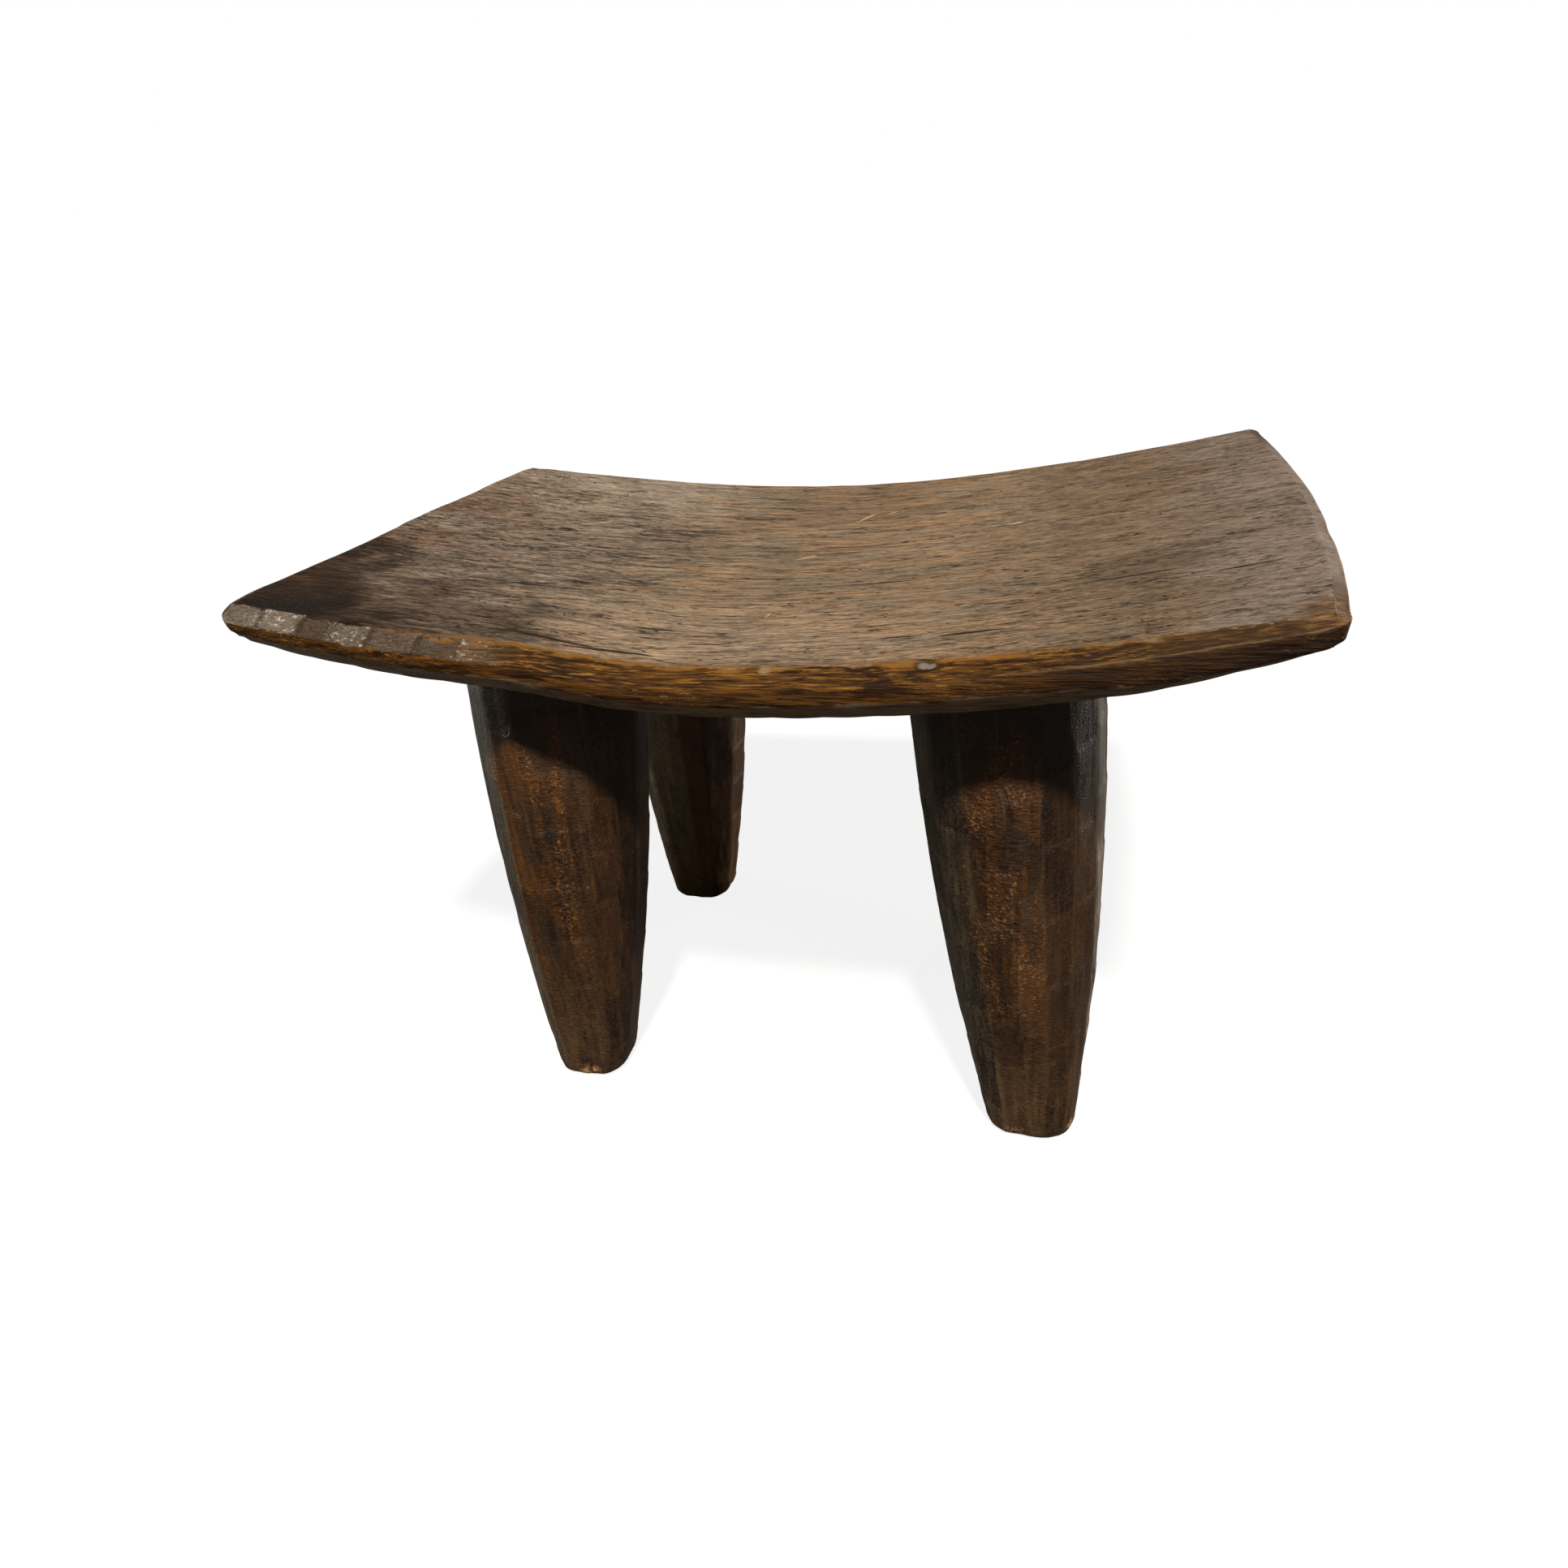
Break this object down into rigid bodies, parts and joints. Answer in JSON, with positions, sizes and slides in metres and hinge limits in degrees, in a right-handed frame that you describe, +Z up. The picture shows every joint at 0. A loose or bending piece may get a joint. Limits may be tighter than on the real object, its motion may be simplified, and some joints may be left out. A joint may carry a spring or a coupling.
{
  "type": "carved wooden stool headrest",
  "caption": "Low carved wooden stool, also used as a headrest: a dished rectangular seat with worn chamfered edges on stout tapering legs with hewn facets.",
  "frame": {"origin": "on the floor, under the centre of the part's outline", "axes": "+X along the seat towards its slightly wider end, -Y towards the front, +Z up"},
  "size_m": [0.5806, 0.3934, 0.3644],
  "materials": {
    "seat_wood": "taupe brown weathered grain, satin, amber where the edges are worn",
    "leg_wood": "dark brown stain with a waxy gloss and orange worn patches"
  },
  "bodies": {
    "root": {"seat": "seat_wood", "leg_front_left": "leg_wood", "leg_front_right": "leg_wood", "leg_back_left": "leg_wood", "leg_back_right": "leg_wood"}
  },
  "joints": []
}
